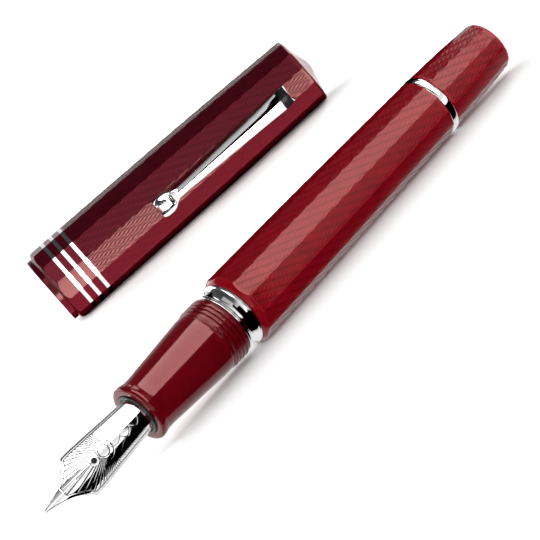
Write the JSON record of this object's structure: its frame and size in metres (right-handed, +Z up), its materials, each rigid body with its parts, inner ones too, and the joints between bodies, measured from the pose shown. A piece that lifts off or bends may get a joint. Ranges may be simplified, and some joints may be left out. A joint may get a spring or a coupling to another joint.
{
  "type": "fountain pen",
  "caption": "Faceted red resin piston-filling fountain pen with bright trim, laid down open beside its cap, which carries a spring clip with a small roller.",
  "frame": {"origin": "middle of the barrel facet that the pen lies on, on the surface it lies on", "axes": "+Z up; +X along the pen from nib to tail, level; +Y from the pen towards its cap"},
  "size_m": [0.1367, 0.1233, 0.015],
  "materials": {
    "red_resin": "deep red resin, polished, barrel, knob and cap engraved with fine crossed cuts",
    "bright_trim": "mirror-polished bright metal",
    "nib_metal": "polished bright nib with engraved rays",
    "black_plastic": "black moulded feed plastic",
    "liner_plastic": "dark moulded plastic",
    "turned_brass": "turned brass",
    "seal_rubber": "black rubber",
    "small_steel": "plain steel"
  },
  "bodies": {
    "pen": {"barrel": "red_resin", "barrel_band": "bright_trim", "section": "red_resin", "nib_collar": "black_plastic", "feed": "black_plastic", "nib": "nib_metal", "nib_tipping": "nib_metal", "tail_ring": "bright_trim", "piston_guide": "turned_brass", "guide_seal": "seal_rubber", "spindle_clip": "small_steel"},
    "knob": {"piston_knob": "red_resin", "piston_spindle": "turned_brass"},
    "piston": {"piston_rod": "liner_plastic", "piston_head": "liner_plastic", "piston_seals": "seal_rubber"},
    "cap": {"cap_shell": "red_resin", "cap_ring_1": "bright_trim", "cap_ring_2": "bright_trim", "cap_ring_3": "bright_trim", "cap_crown": "red_resin", "inner_cap": "liner_plastic", "clip_screw": "small_steel"},
    "clip_arm": {"clip": "bright_trim", "roller_pin": "small_steel"},
    "roller": {"clip_roller": "bright_trim"}
  },
  "joints": [
    {"name": "cap_slide", "type": "slide", "parent": "pen", "child": "cap", "axis": [0.9168, -0.3994, 0], "range_m": [0, 0.05]},
    {"name": "knob_turn", "type": "hinge", "parent": "pen", "child": "knob", "pos_m": [0.04461, 0, 0.00604], "axis": [0.9999, 0, -0.0166], "range_deg": [0, 856]},
    {"name": "piston_slide", "type": "slide", "parent": "pen", "child": "piston", "axis": [-0.9999, 0, 0.0166], "range_m": [0, 0.019]},
    {"name": "clip_flex", "type": "hinge", "parent": "cap", "child": "clip_arm", "pos_m": [0.06271, 0.08106, 0.00698], "axis": [0.0092, -0.004, 0.9999], "range_deg": [0, 5], "stiffness_Nm_per_rad": 0.5, "springref_deg": -1.15},
    {"name": "roller_spin", "type": "hinge", "parent": "clip_arm", "child": "roller", "pos_m": [0.03462, 0.0913, 0.00728], "axis": [0.0092, -0.004, 0.9999], "continuous": true}
  ],
  "couplings": [
    {"joint": "knob_turn", "follows": "piston_slide", "rad_per_m": 785.4}
  ]
}
